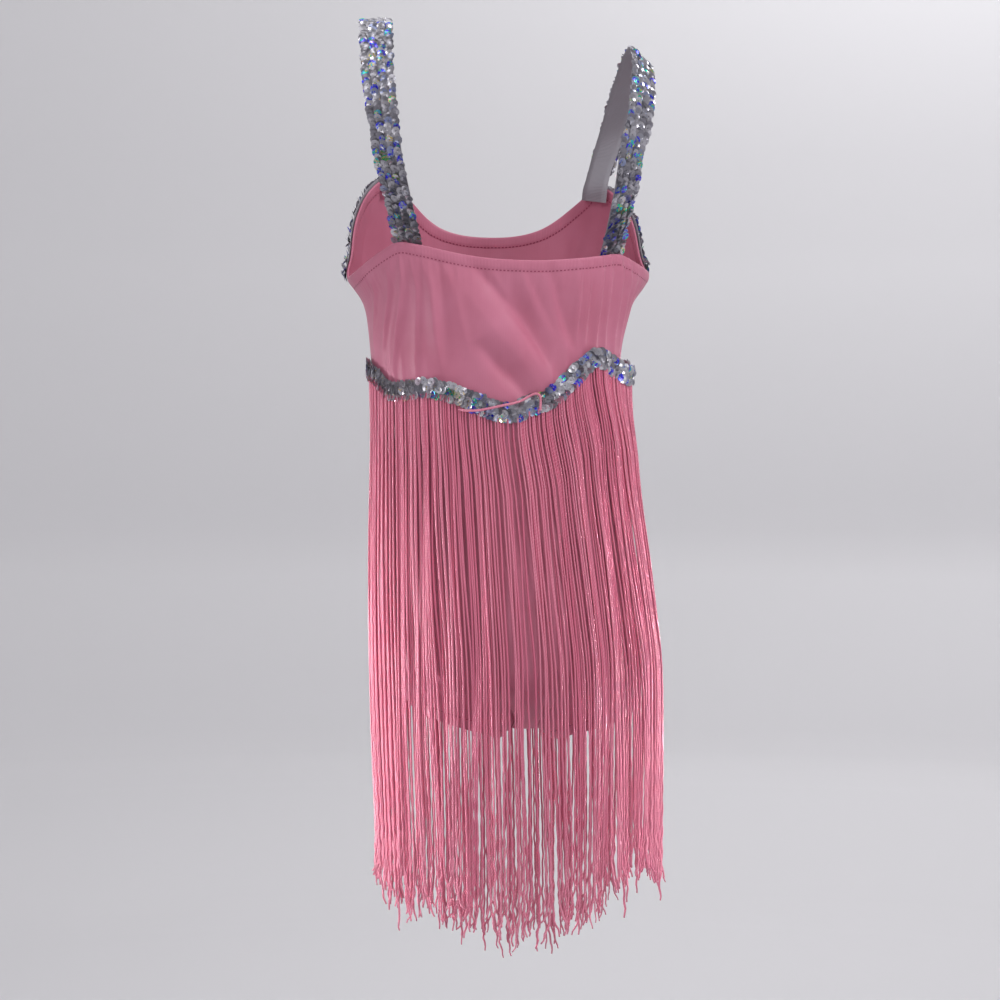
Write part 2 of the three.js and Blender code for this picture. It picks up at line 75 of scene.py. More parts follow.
# Top edges: angle from the wearer's left side seam, drop. The corners carry the straps.
TOP = {
    "back": [(0, 198), (16, 195), (32, 185), (47, 175), (60, 180), (78, 188), (96, 191),
             (116, 188), (137, 182), (150, 187), (166, 191), (180, 191)],
    "front": [(0, 198), (5, 184), (12, 155), (20, 133), (30, 117), (42, 106), (56, 124),
              (72, 146), (90, 153), (108, 147), (124, 128), (138, 111), (150, 121), (160, 136),
              (168, 156), (175, 178), (180, 191)],
}
CORNERS = {"back": (47, 137), "front": (42, 138)}
# Half of each leg edge: angle, x from the legs' middle, y, drop, and the way the cloth runs.
LEG = {
    "back": [(-20, 87, -36, 526, 0, 0), (0, 93, 0, 522, 0, 0), (20, 87, 36, 528, 0, 0),
             (38, 71, 63, 534, 0, 0), (52, 51, 73, 540, 0, -0.1), (63, 32, 66, 546, 0.1, -0.3),
             (72, 20, 46, 553, 0.6, -0.3), (79, 15, 24, 556, 0.9, -0.1), (84, 13, 0.2, 556, 1, 0)],
    "front": [(-20, 87, -32, 528, 0, 0), (0, 93, 0, 522, 0, 0), (20, 87, 32, 526, 0, 0),
              (38, 71, 54, 531, 0, 0), (52, 51, 62, 537, 0, -0.1), (63, 32, 56, 544, 0.1, -0.3),
              (72, 20, 40, 552, 0.6, -0.3), (79, 15, 21, 556, 0.9, -0.1), (84, 13, 0.2, 556, 1, 0)],
}
LEGS_MIDDLE = -12  # x of the crotch, as the wearer stands with the hips to one side
HIP_DROP = 500  # where the torso ends and the seat begins
CROTCH_ANGLE = 84  # columns past this angle end in the crotch seam
EDGE_WIDTH = 9
MM_PER_DEGREE = 1.7  # round the torso
ROUNDNESS = 2.3  # the power of the body's section: 2 is an ellipse
FACING = {"back": 1, "front": -1}
# Folds: angle and drop of the high end, of the low end, half width, height and bow, all but the
# angles in millimetres. A ridge is steeper on the side of the higher angles, and a hollow, whose
# height is below 0, on the other side.
FOLDS = {
    "back": [
        # the long slant from the neck to the trim's low point, and the bulge below it
        (67, 196, 105, 294, 20, 4.6, 1), (76.5, 190, 114, 284, 9, -7.6, 1), (80, 252, 101, 304, 9, -6, 0),
        (93, 194, 113, 250, 6, -2.2, -2),
        # the pull of the left strap, fanning down to the trim
        (60, 184, 64, 280, 6, 4.4, 0), (50, 184, 33, 282, 4.5, 3.2, 0), (55, 186, 50, 282, 4, 2.4, 0),
        (43, 188, 23, 270, 4.5, 2.8, 0), (30, 196, 12, 256, 4, 1.8, 0), (68, 190, 78, 268, 5, 1.8, 0),
        # short pulls under the neck, then the right strap's gathers
        (84, 192, 92, 230, 4.5, 2.0, 0), (103, 192, 123, 264, 7, -4.4, -2), (92, 190, 101, 234, 4, 1.6, 0),
        (107, 190, 112, 226, 3.5, 0.9, 0), (115, 184, 122, 264, 3.4, 3.2, 0),
        (120, 185, 127, 262, 2.8, 2.2, 0), (126, 182, 134, 262, 3, 3.8, 0), (131, 183, 141, 258, 2.8, 2.8, 0),
        (137, 181, 151, 264, 3.6, 4.6, 0), (144, 184, 161, 258, 3.2, 3.2, 0),
        (152, 190, 167, 262, 3.6, 2.2, 0), (160, 198, 171, 254, 3.6, 1.5, 0),
        # gathers where the trim is sewn down
        (29, 254, 30, 292, 2.6, 0.8, 0), (35, 250, 35, 292, 2.4, 0.9, 0), (41, 256, 41, 294, 2.6, 0.7, 0),
        (50, 258, 51, 292, 2.6, 0.9, 0), (57, 262, 58, 292, 2.4, 0.7, 0), (110, 252, 108, 298, 3, 1.0, 0),
        (117, 246, 115, 290, 2.8, 0.9, 0), (125, 240, 124, 278, 2.6, 0.8, 0),
        (141, 240, 141, 272, 2.6, 0.8, 0), (150, 244, 149, 278, 2.6, 0.8, 0),
        (159, 246, 159, 282, 2.6, 0.8, 0),
    ],
    "front": [
        (46, 112, 78, 292, 7, 2.2, 0), (134, 118, 104, 292, 7, 2.2, 0), (58, 132, 62, 250, 6, 1.4, 0),
        (122, 134, 118, 250, 6, 1.4, 0), (30, 140, 18, 250, 5, 1.4, 0), (150, 142, 162, 250, 5, 1.4, 0),
    ],
}


def smooth_curve(rows, column, at):
    """A column of a table at any place: cubics whose slopes follow the rows on each side."""
    rows = np.asarray(rows, float)
    x, y = rows[:, 0], rows[:, column]
    slope = np.gradient(y)
    slope[1:-1] = (y[2:] - y[:-2]) / (x[2:] - x[:-2])
    slope[[0, -1]] = [(y[1] - y[0]) / (x[1] - x[0]), (y[-1] - y[-2]) / (x[-1] - x[-2])]
    i = np.clip(np.searchsorted(x, at, side="left") - 1, 0, len(x) - 2)
    step = x[i + 1] - x[i]
    t = np.clip((at - x[i]) / step, 0, 1)
    rise = t * t * (3 - 2 * t)
    bend = t * (1 - t) * step * (slope[i] * (1 - t) - slope[i + 1] * t)
    return y[i] * (1 - rise) + y[i + 1] * rise + bend


def ease(x, low, high):
    """0 up to low, 1 from high on, and a smooth rise between."""
    t = np.clip((x - low) / (high - low), 0, 1)
    return t * t * (3 - 2 * t)


def wander(at, wavelength, seed):
    """A smooth uneven wave: five sines, with wavelengths of 0.6 to 1.5 times the one given and any
    phase, whose sum over 2.6 stays between about -1 and 1."""
    chance = np.random.default_rng(seed)
    total = 0
    for _ in range(5):
        wave = wavelength * chance.uniform(0.6, 1.5)
        total = total + np.sin(at * 2 * np.pi / wave + chance.uniform(0, 7))
    return total / 2.6


def around(angle):
    """The way out from the body at an angle: its cosine along X and its sine along Y."""
    angle = np.radians(angle)
    return np.stack([np.cos(angle), np.sin(angle), np.zeros_like(angle)], -1)


def on_ring(rows, angle, drop):
    """A rounded section: the centre, plus the half width times the cosine and the depth times the
    sine, each to the power of 2 over the roundness. The depth at the front is its own."""
    c, s = np.cos(np.radians(angle)), np.sin(np.radians(angle))
    depth = np.where(s > 0, smooth_curve(rows, 3, drop), smooth_curve(rows, 4, drop))
    x = np.sign(c) * np.abs(c) ** (2 / ROUNDNESS) * smooth_curve(rows, 2, drop)
    y = np.sign(s) * np.abs(s) ** (2 / ROUNDNESS) * depth
    return np.stack([smooth_curve(rows, 1, drop) + x, y, -drop + 0 * x], -1)


def fold_height(face, angle, drop):
    """The sum of the folds' ridges. Across it each is a pointed bell that falls as the exponential
    of the distance's 1.5th power, over 0.6 of its half width on the steep side and 1.3 on the
    other. Along it is the 0.8th power of half a sine, so that it fades at both ends."""
    height = np.zeros(np.broadcast(angle, drop).shape)
    for a0, d0, a1, d1, width, high, bow in FOLDS[face]:
        run, fall = (a1 - a0) * MM_PER_DEGREE, d1 - d0
        x, y = (angle - a0) * MM_PER_DEGREE, drop - d0
        length = math.hypot(run, fall)
        share = (x * run + y * fall) / length**2
        fade = np.sin(np.pi * np.clip(share, 0, 1)) ** 0.8
        away = (x * fall - y * run) / length - bow * fade
        away = away / np.where(away * high > 0, 0.6 * width, 1.3 * width)
        height += high * fade * np.exp(-np.abs(away) ** 1.5)
    return height


def cut_edge(face, angle):
    """The drop of a panel's top edge, in three lengths that meet at its corners."""
    first, second = CORNERS[face]
    rows = np.array(TOP[face], float)
    at = rows[:, 0]
    parts = rows[at <= first], rows[(at >= first) & (at <= second)], rows[at >= second]
    found = [smooth_curve(part, 1, angle) for part in parts]
    return np.where(angle <= first, found[0], np.where(angle <= second, found[1], found[2]))


def top_edge(face, angle):
    """The same edge with its corners rounded: the mean of nearby places, at their most 4 degrees
    away, and less near the side seams."""
    near = np.minimum(4, np.minimum(angle, 180 - angle))
    return sum(cut_edge(face, angle + near * k) for k in (-1, -0.5, 0, 0.5, 1)) / 5


def edge_drop(face, angle):
    """How far down a turned edge reaches: its width times the root of 1 plus the edge's slope
    squared, at most 2. The slope fades out over the last 8 degrees to a side seam."""
    rise = top_edge(face, np.minimum(angle + 1, 180)) - top_edge(face, np.maximum(angle - 1, 0))
    slope = rise / (2 * MM_PER_DEGREE) * ease(np.minimum(angle, 180 - angle), 0, 8)
    return EDGE_WIDTH * np.sqrt(1 + np.minimum(slope**2, 2))


def torso(angle, drop):
    """The cloth's outer face: the body's section, plus the folds and fine pulls 7 mm apart that
    fade over 15 mm below the stitched edge. The armholes draw it out at the side seams, by 7 mm
    at their lowest and as a bell 15 mm wide around that. Angles below 0 are on the front."""
    angle, drop = np.broadcast_arrays(np.asarray(angle, float), np.asarray(drop, float))
    point = on_ring(BODY, angle, drop)
    c = np.cos(np.radians(angle))
    wing = 7 * np.exp(-(((drop - 197) / 15) ** 2))
    point[..., 0] += np.sign(c) * np.abs(c) ** 8 * wing
    relief = 0
    for face, side in FACING.items():
        a = angle * side
        here = np.clip(a, 0, 180)
        below = drop - top_edge(face, here) - edge_drop(face, here)
        pulls = 0.42 * wander(here * MM_PER_DEGREE, 7, 3) * ease(below, -2, 6)
        pulls = pulls * np.exp(-np.maximum(below, 0) / 15) * ease(np.minimum(here, 180 - here), 0, 5)
        relief = relief + np.where((a > 0) & (a < 180), fold_height(face, here, drop) + pulls, 0)
    return point + around(angle) * relief[..., None]


def unit(v):
    """Each vector over its own length."""
    return v / np.maximum(np.linalg.norm(v, axis=-1, keepdims=True), 1e-9)


def lengths(line):
    """How far along a line each of its points is: the sum of the steps before it."""
    return np.concatenate([[0], np.cumsum(np.linalg.norm(np.diff(line, axis=0), axis=-1))])


def leg_place(face, angle):
    """Where the cloth that comes down at an angle ends, the way that it runs there, and what share
    of it turns straight to the crotch seam. The first two come from the leg's table, by the angle
    from the side seam, and the way is 0.75 down. Past the crotch angle the ends close in on the
    legs' middle as the angle nears 90."""
    mirror = np.where(angle > 90, -1, 1)
    from_side = np.minimum(angle, 180 - angle)
    in_seam = np.maximum(0, from_side - CROTCH_ANGLE) / (90 - CROTCH_ANGLE)
    x, y, drop, out_x, out_y = (smooth_curve(LEG[face], k, from_side) for k in range(1, 6))
    point = np.stack([LEGS_MIDDLE + mirror * x * (1 - in_seam), FACING[face] * y, -drop], -1)
    run = unit(np.stack([mirror * out_x, FACING[face] * out_y, -0.75 + 0 * x], -1))
    seamward = np.maximum(ease(from_side, CROTCH_ANGLE - 6, CROTCH_ANGLE) / 2, ease(in_seam, -0.5, 0.5))
    return point, run, np.where(from_side < CROTCH_ANGLE - 6, 0, seamward)


def panel(face, angle, row, above=0.0):
    """A panel's outer face: row 0 is its top, 1 the hip and 2 the leg edge. Its top is the turned
    edge's low side, or higher by that share of the edge. Below the hip each column is one cubic
    that leaves the hip straight and turns under between the legs."""
    start = top_edge(face, angle) + edge_drop(face, angle) * (1 - above)
    drop = start + (HIP_DROP - start) * np.minimum(row, 1)
    upper = torso(FACING[face] * angle, drop)
    hip = torso(FACING[face] * angle, HIP_DROP + 0 * angle)
    leave = unit(hip - torso(FACING[face] * angle, HIP_DROP - 0.02 * (HIP_DROP - start)))
    point, run, seamward = leg_place(face, angle)
    arrive = unit(run * (1 - seamward[..., None]) + np.array([0, -FACING[face], 0]) * seamward[..., None])
    reach = np.linalg.norm(point - hip, axis=-1)[..., None]
    t = np.clip(row - 1, 0, 1)[..., None]
    lower = (
        hip * (1 + 2 * t) * (1 - t) ** 2
        + leave * t * (1 - t) ** 2 * reach
        + point * t * t * (3 - 2 * t)
        + arrive * t * t * (t - 1) * reach
    )
    return np.where(row[..., None] <= 1, upper, lower), drop


def grid_quads(columns, rows, round_columns=False):
    """The faces of a grid whose points are stored column by column: each joins two neighbours of
    one column to the same two of the next."""
    i = np.arange(columns if round_columns else columns - 1)[:, None]
    j = np.arange(rows - 1)[None, :]
    here, after = i * rows + j, (i + 1) % columns * rows + j
    return np.stack([here, here + 1, after + 1, after], -1).reshape(-1, 4)


def mesh_piece(name, points, quads, uv=None, values=None, side=1):
    """An object from points in millimetres and quads, which a side of -1 turns over. uv is in
    millimetres along and across the cloth, one pair a point, and values are named numbers, one
    a point."""
    mesh = bpy.data.meshes.new(name)
    quads = np.asarray(quads)[:, ::side]
    mesh.from_pydata((np.asarray(points).reshape(-1, 3) / 1000).tolist(), [], quads.tolist())
    if uv is not None:
        layer = mesh.uv_layers.new(name="along_across")
        layer.data.foreach_set("uv", np.asarray(uv, np.float32).reshape(-1, 2)[quads.ravel()].ravel())
    for key, value in (values or {}).items():
        store = mesh.attributes.new(key, "FLOAT", "POINT")
        store.data.foreach_set("value", np.asarray(value, np.float32).ravel())
    mesh.shade_smooth()
    piece = bpy.data.objects.new(name, mesh)
    bpy.context.collection.objects.link(piece)
    return piece


def linear(hex_colour):
    """An sRGB hex colour as linear red, green, blue and alpha."""
    parts = [int(hex_colour[k : k + 2], 16) / 255 for k in (1, 3, 5)]
    return tuple(c / 12.92 if c <= 0.04045 else ((c + 0.055) / 1.055) ** 2.4 for c in parts) + (1.0,)


def add_node(material, kind, settings=None, **links):
    """One shader node: settings are its properties, links its inputs by name or place, each a
    value or another node's output."""
    node = material.node_tree.nodes.new(kind)
    for key, value in (settings or {}).items():
        setattr(node, key, value)
    for key, value in links.items():
        numbered = key[0] == "_" and key[1:].isdigit()
        socket = node.inputs[int(key[1:]) if numbered else key.replace("_", " ")]
        if isinstance(value, bpy.types.NodeSocket):
            material.node_tree.links.new(value, socket)
        else:
            socket.default_value = value
    return node


def new_material(name, **surface):
    """A material with one Principled surface, whose sockets are set by name."""
    material = bpy.data.materials.new(name)
    material.use_nodes = True
    material.node_tree.nodes.clear()
    shader = add_node(material, "ShaderNodeBsdfPrincipled")
    for key, value in surface.items():
        shader.inputs[key.replace("_", " ")].default_value = value
    add_node(material, "ShaderNodeOutputMaterial", Surface=shader.outputs[0])
    return material, shader


def ramp(material, factor, stops, smooth="LINEAR"):
    """The output of a colour ramp of (place, hex colour) stops, at the place that factor gives."""
    node = add_node(material, "ShaderNodeValToRGB", Fac=factor)
    node.color_ramp.interpolation = smooth
    while len(node.color_ramp.elements) < len(stops):
        node.color_ramp.elements.new(0.5)
    for element, (place, colour) in zip(node.color_ramp.elements, stops):
        element.position, element.color = place, linear(colour)
    return node.outputs["Color"]


def maths(material, operation, a, b=0.0):
    """The output of a sum, product or other operation on two values or outputs."""
    return add_node(material, "ShaderNodeMath", {"operation": operation}, _0=a, _1=b).outputs[0]


def cloth_place(material):
    """The output that holds a piece's own uv: the place along and across it in millimetres."""
    return add_node(material, "ShaderNodeUVMap", {"uv_map": "along_across"}).outputs[0]


def ridges(material, scale, waviness):
    """Sine ridges across a piece's length, a little wavy and 0.314 / scale millimetres apart."""
    return add_node(
        material, "ShaderNodeTexWave", {"wave_profile": "SIN", "bands_direction": "X"},
        Vector=cloth_place(material), Scale=scale, Distortion=waviness, Detail=1.0).outputs["Fac"]


def emboss(material, shader, height, strength, distance):
    """Tips the surface by the slope of a height that runs from 0 to 1 over a distance in metres."""
    bump = add_node(material, "ShaderNodeBump", Height=height, Strength=strength, Distance=distance)
    material.node_tree.links.new(bump.outputs[0], shader.inputs["Normal"])


# Swimwear knit: a filament yarn with a low sheen. Its wales are 0.3 mm apart, too fine to show,
# so they are drawn 1.1 mm apart and very shallow.
knit, knit_shader = new_material(
    "stretch_knit", Roughness=0.46, Specular_IOR_Level=0.35, Sheen_Weight=0.1, Sheen_Roughness=0.4,
    Sheen_Tint=linear("#ffc6d6"),
)
knit_place = add_node(knit, "ShaderNodeTexCoord").outputs["Object"]
knit_cloud = add_node(knit, "ShaderNodeTexNoise", Vector=knit_place, Scale=28.0, Detail=4.0).outputs["Fac"]
knit_colour = ramp(knit, knit_cloud, [(0.3, "#ca758e"), (0.7, "#d3809a")])
knit.node_tree.links.new(knit_colour, knit_shader.inputs["Base Color"])
emboss(knit, knit_shader, ridges(knit, 0.28, 0.6), 0.35, 0.00006)

CLOTH_GRID = {"back": (215, 120, 34), "front": (130, 84, 28)}  # columns, rows above and below the hip
CLOTH_THICKNESS = 0.0008  # in metres
for face in ("back", "front"):
    columns, torso_rows, seat_rows = CLOTH_GRID[face]
    angle = np.linspace(0, 180, columns)[:, None]
    # The rows are closest near the top, where the pulls are.
    row = np.concatenate([np.linspace(0, 1, torso_rows) ** 1.25, 1 + np.linspace(0, 1, seat_rows + 1)[1:]])
    angle, row = np.broadcast_arrays(angle, row[None, :])
    # The panel starts a third of the way up inside its turned edge.
    points, drop = panel(face, angle, row, above=0.35)
    uv = np.stack([angle * MM_PER_DEGREE, drop], -1)
    cloth = mesh_piece(f"cloth_{face}", points, grid_quads(*angle.shape), uv, side=FACING[face])
    cloth.data.materials.append(knit)
    shell = cloth.modifiers.new("cloth_thickness", "SOLIDIFY")
    shell.thickness, shell.offset, shell.use_even_offset = CLOTH_THICKNESS, -1, False
    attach(cloth, "root")
    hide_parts(f"leotard_{face}")

# ---- The turned edges -----------------------------------------------------------------------
# At the neck, armholes and legs the knit is turned over flat elastic and held by a stitched line
# near its low edge. The elastic gathers it into small puckers.
EDGE_PROFILE = np.array([  # share of the width below the fold, height off the cloth in mm
    (1.05, 0.02), (1.0, 0.25), (0.93, 0.12), (0.86, 0.42), (0.6, 0.62), (0.3, 0.62), (0.1, 0.5), (0.02, 0.2),
    (0.0, -0.3), (0.03, -0.9), (0.2, -1.25), (0.6, -1.25), (0.95, -1.2), (1.0, -0.9),
])

# The same knit, with the sewn line: stitches as long as the gaps between them, sunk in a groove.
# They are drawn darker: partly the thread's colour and partly painted shade of the groove, which
# has no relief of its own.
# The elastic's gathers show as fine upright ribs. All in millimetres.
STITCH_PITCH, STITCH_LINE, THREAD_HALF_WIDTH, RIB_PITCH = 3.0, 8.4, 0.42, 2.6
edging = knit.copy()
edging.name = "turned_knit_edge"
edging_shader = edging.node_tree.nodes["Principled BSDF"]
edging_along, edging_across, _ = add_node(edging, "ShaderNodeSeparateXYZ", Vector=cloth_place(edging)).outputs
dash = maths(edging, "FRACT", maths(edging, "DIVIDE", edging_along, STITCH_PITCH))
on_dash = maths(edging, "LESS_THAN", dash, 0.5)
off_line = maths(edging, "ABSOLUTE", maths(edging, "SUBTRACT", edging_across, STITCH_LINE))
# The dark dashes: the thread's colour and painted shade of its groove.
stitch_and_groove_shade = maths(edging, "MULTIPLY", on_dash, maths(edging, "LESS_THAN", off_line, THREAD_HALF_WIDTH))
edging_base = edging_shader.inputs["Base Color"].links[0].from_socket
edging_mix = add_node(
    edging, "ShaderNodeMix", {"data_type": "RGBA"}, _0=stitch_and_groove_shade, _6=edging_base, _7=linear("#9c3f5e"))
edging.node_tree.links.new(edging_mix.outputs[2], edging_shader.inputs["Base Color"])
ribs = maths(edging, "SINE", maths(edging, "MULTIPLY", edging_along, 2 * math.pi / RIB_PITCH))
emboss(edging, edging_shader, ribs, 0.4, 0.00008)


def turned_edge(name, node, place, side, along_mm, round_columns=False):
    """A folded band: the profile above is carried along place(share), a grid of points and their
    normals, and raised by puckers of 0.1 mm, 4 mm apart, that are highest at half its width."""
    share, height = EDGE_PROFILE.T
    points, normals = place(share)
    pucker = 0.1 * wander(along_mm, 4.2, 11)[:, None] * np.sin(np.pi * np.clip(share, 0, 1)) ** 0.5
    points = points + normals * (height + pucker * np.sign(height))[..., None]
    uv = np.stack(np.broadcast_arrays(along_mm[:, None], share * EDGE_WIDTH), -1)
    piece = mesh_piece(name, points, grid_quads(*points.shape[:2], round_columns), uv, side=side)
    piece.data.materials.append(edging)
    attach(piece, "root")
    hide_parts(node)
    return piece


EDGE_COLUMNS = 1.6  # a degree
edge_pieces = {"back": [], "front": []}
for face in ("back", "front"):
    first, second = CORNERS[face]
    for part, low, high in (("left", 0, first), ("neck", first, second), ("right", second, 180)):
        angle = np.linspace(low, high, int((high - low) * EDGE_COLUMNS))

        def place(share, angle=angle, face=face):
            """Down the torso from the top edge, with the cross product of the ways down and along."""
            a = angle[:, None] + 0 * share
            drop = top_edge(face, a) + share * edge_drop(face, a)
            step = 0.05
            along = torso(FACING[face] * (a + step), drop) - torso(FACING[face] * (a - step), drop)
            down = torso(FACING[face] * a, drop + step) - torso(FACING[face] * a, drop - step)
            return torso(FACING[face] * a, drop), unit(np.cross(down, along)) * FACING[face]

        along_mm = lengths(place(np.array([0.0]))[0][:, 0])
        node = f"neck_edge_{face}" if part == "neck" else f"armhole_edge_{face}_{part}"
        edge_pieces[face].append(turned_edge(f"turned_{node}", node, place, FACING[face], along_mm))

# A leg's edge runs from the side seam to the crotch along the back, and on along the front.
for side, mirror in (("left", 1), ("right", -1)):
    u = np.linspace(0, 2, 260, endpoint=False)
    from_side = CROTCH_ANGLE * (1 - np.abs(1 - u))
    angle = from_side if mirror > 0 else 180 - from_side
    back, front = leg_place("back", angle), leg_place("front", angle)
    start = np.where((u < 1)[:, None], back[0], front[0])
    run = np.where((u < 1)[:, None], back[1], front[1])
    ahead = np.roll(start, -1, 0) - np.roll(start, 1, 0)
    out = unit(np.cross(run, ahead)) * mirror

    def place(share, start=start, run=run, out=out):
        """On from the panel's end, the way that the cloth runs there."""
        below = EDGE_WIDTH * (1 - share)
        return start[:, None] + run[:, None] * below[:, None], out[:, None] + 0 * share[:, None]

    edge_pieces["back"].append(
        turned_edge(f"turned_leg_edge_{side}", f"leg_edge_{side}", place, -mirror, lengths(start), True))

# ---- The sequin straps ----------------------------------------------------------------------
# Each strap is sequin banding: cupped silver film sequins with a hole in the middle, sewn in
# four overlapping rows on a grey knitted ribbon. The film has a rainbow grating, so each
# sequin throws its own blue, violet, green or gold flash.
#
# The straps' middle lines: x, y, drop, lean away from the neck in degrees.
STRAPS = {
    "left": [(81, 57.2, 190, 31), (83, 60.4, 177, 33), (86, 66, 162, 35), (92.3, 76, 139, 36),
             (98.4, 81, 114, 34), (101.5, 80, 90, 30), (104.6, 72, 61, 24), (106, 54, 32, 15),
             (106, 30, 8, 7), (105, 5, -5, 4), (104, -20, -1, 6), (102, -43, 18, 12),
             (98, -58, 48, 22), (92.5, -58.5, 82, 32), (88, -50.1, 108, 38), (86, -52, 121, 38)],
    "right": [(-73, 55, 196, 32), (-75, 56.2, 184, 33), (-77.5, 63.5, 168, 36), (-79.7, 73, 152, 37),
              (-83.2, 79, 132, 36), (-87.5, 79, 104, 36), (-95, 69, 77, 37), (-100, 52, 52, 39),
              (-104, 29, 30, 42), (-106, 5, 18, 43), (-105, -20, 22, 41), (-101, -42, 40, 38),
              (-95, -57, 66, 36), (-87, -57.5, 90, 36), (-79.5, -49.3, 113, 38), (-78, -51, 126, 38)],
}
STRAP_WIDTH = 26
SEQUINS_END = {"left": (177, 101), "right": (184, 106)}  # drop at the back, at the front
SEQUIN_SIZE, SEQUIN_PITCH, SEQUIN_SPOKES = 6.5, 3.5, 10
SEQUIN_RINGS = [(0.09, 0.0), (0.3, 0.1), (0.5, 0.5)]  # radius as a share of the size, height in mm

# Metallised film: mostly grey, as it mirrors the room, with a few saturated flashes. Each sequin
# has a tint of its own, which a fine grain breaks up.
sequin_film, film_shader = new_material(
    "holographic_sequin_film", Metallic=0.74, Roughness=0.28, Coat_Weight=0.25, Coat_Roughness=0.1,
)
film_tint = add_node(sequin_film, "ShaderNodeAttribute", {"attribute_name": "tint"}).outputs["Fac"]
film_place = add_node(sequin_film, "ShaderNodeTexCoord").outputs["Object"]
film_grain = add_node(
    sequin_film, "ShaderNodeTexNoise", Vector=film_place, Scale=420.0, Detail=1.0).outputs["Fac"]
film_shift = maths(sequin_film, "MULTIPLY", maths(sequin_film, "SUBTRACT", film_grain, 0.5), 0.28)
film_colour = ramp(sequin_film, maths(sequin_film, "ADD", film_tint, film_shift), [
    (0.0, "#918f98"), (0.2, "#b0aeb6"), (0.4, "#c6c4cc"), (0.56, "#a2a2ad"), (0.7, "#9aa3c4"),
    (0.78, "#5560d0"), (0.8, "#3336ea"), (0.825, "#8d74e0"), (0.85, "#54c4dc"), (0.875, "#34d296"),
    (0.895, "#ecc878"), (0.92, "#d6d5dd"), (1.0, "#f4f3f8"),
], "CONSTANT")
sequin_film.node_tree.links.new(film_colour, film_shader.inputs["Base Color"])

# The ribbon: a grey knit, seen on the backs of the straps and as gaps between the sequins. Its
# courses are 1.2 mm apart.
ribbon, ribbon_shader = new_material("sequin_ribbon", Base_Color=linear("#9b979f"), Roughness=0.75)
emboss(ribbon, ribbon_shader, ridges(ribbon, 0.26, 0.8), 0.8, 0.0002)


def sequins(place, length, rows, seed, lean, loose, painted_pale_share):
    """Sequins on a band. place(u, v) gives points for u along from 0 to 1 and v across from -1
    to 1. Every second row is half a pitch on. Rows are shingled: each sequin leans back on the
    one behind by lean(u) radians, and stands up with it by the sine. Its place, lean, tilt and
    height have some chance in them, loose radians for the lean and the tilt. The last argument,
    of u, is the share given the palest film: painted light for sequins that lie in shade. Each is
    two rings of faces round a hole, cupped by half a millimetre."""
    chance = np.random.default_rng(seed)
    count = int(length / SEQUIN_PITCH)
    k, row = (part.ravel() for part in np.meshgrid(np.arange(count), np.arange(rows), indexing="ij"))
    u = (k + 0.5 * (row % 2) + 0.25 + chance.uniform(-0.16, 0.16, k.size)) * SEQUIN_PITCH / length
    v = (row + 0.5) / rows * 2 - 1 + chance.uniform(-0.09, 0.09, k.size)
    u = np.clip(u, 0.002, 0.998)
    middle = place(u, v)
    along = unit(place(u + 0.001, v) - place(u - 0.001, v))
    across = unit(place(u, v + 0.01) - place(u, v - 0.01))
    out = unit(np.cross(along, across))
    back = (lean(u) + chance.normal(0, loose, k.size))[:, None]
    tip = chance.normal(0, loose, k.size)[:, None]
    axis = unit(out * np.cos(back) - along * np.sin(back) + across * tip)
    ahead = unit(along - axis * np.sum(along * axis, -1, keepdims=True))
    beside = np.cross(axis, ahead)
    stand = 0.6 + np.abs(np.sin(back[:, 0])) + chance.uniform(0, 0.5, k.size)
    middle = middle + out * stand[:, None]
    turn = np.arange(SEQUIN_SPOKES) * 2 * np.pi / SEQUIN_SPOKES
    radius, height = np.array(SEQUIN_RINGS).T[..., None] + 0 * turn
    shape_x, shape_y = radius * SEQUIN_SIZE * np.cos(turn), radius * SEQUIN_SIZE * np.sin(turn)
    points = (
        middle[:, None, None]
        + ahead[:, None, None] * shape_x[None, ..., None]
        + beside[:, None, None] * shape_y[None, ..., None]
        + axis[:, None, None] * height[None, ..., None]
    )
    j = np.arange(SEQUIN_SPOKES)
    after = (j + 1) % SEQUIN_SPOKES
    inner = np.stack([j, SEQUIN_SPOKES + j, SEQUIN_SPOKES + after, after], -1)
    one = np.concatenate([inner, inner + SEQUIN_SPOKES])
    each = len(SEQUIN_RINGS) * SEQUIN_SPOKES
    quads = (one[None] + (np.arange(k.size) * each)[:, None, None]).reshape(-1, 4)
    # The tints wander along the band, so that the flashes come in groups.
    tint = np.clip(chance.uniform(0, 0.97, k.size) + 0.13 * wander(u * length, 60, seed + 5), 0, 0.97)
    # A share of the sequins, set by the last argument, get the palest film: painted light for sequins that
    # lie in shade.
    tint = np.repeat(np.where(chance.uniform(0, 1, k.size) < painted_pale_share(u), 0.97, tint), each)
    return points.reshape(-1, 3), quads, tint


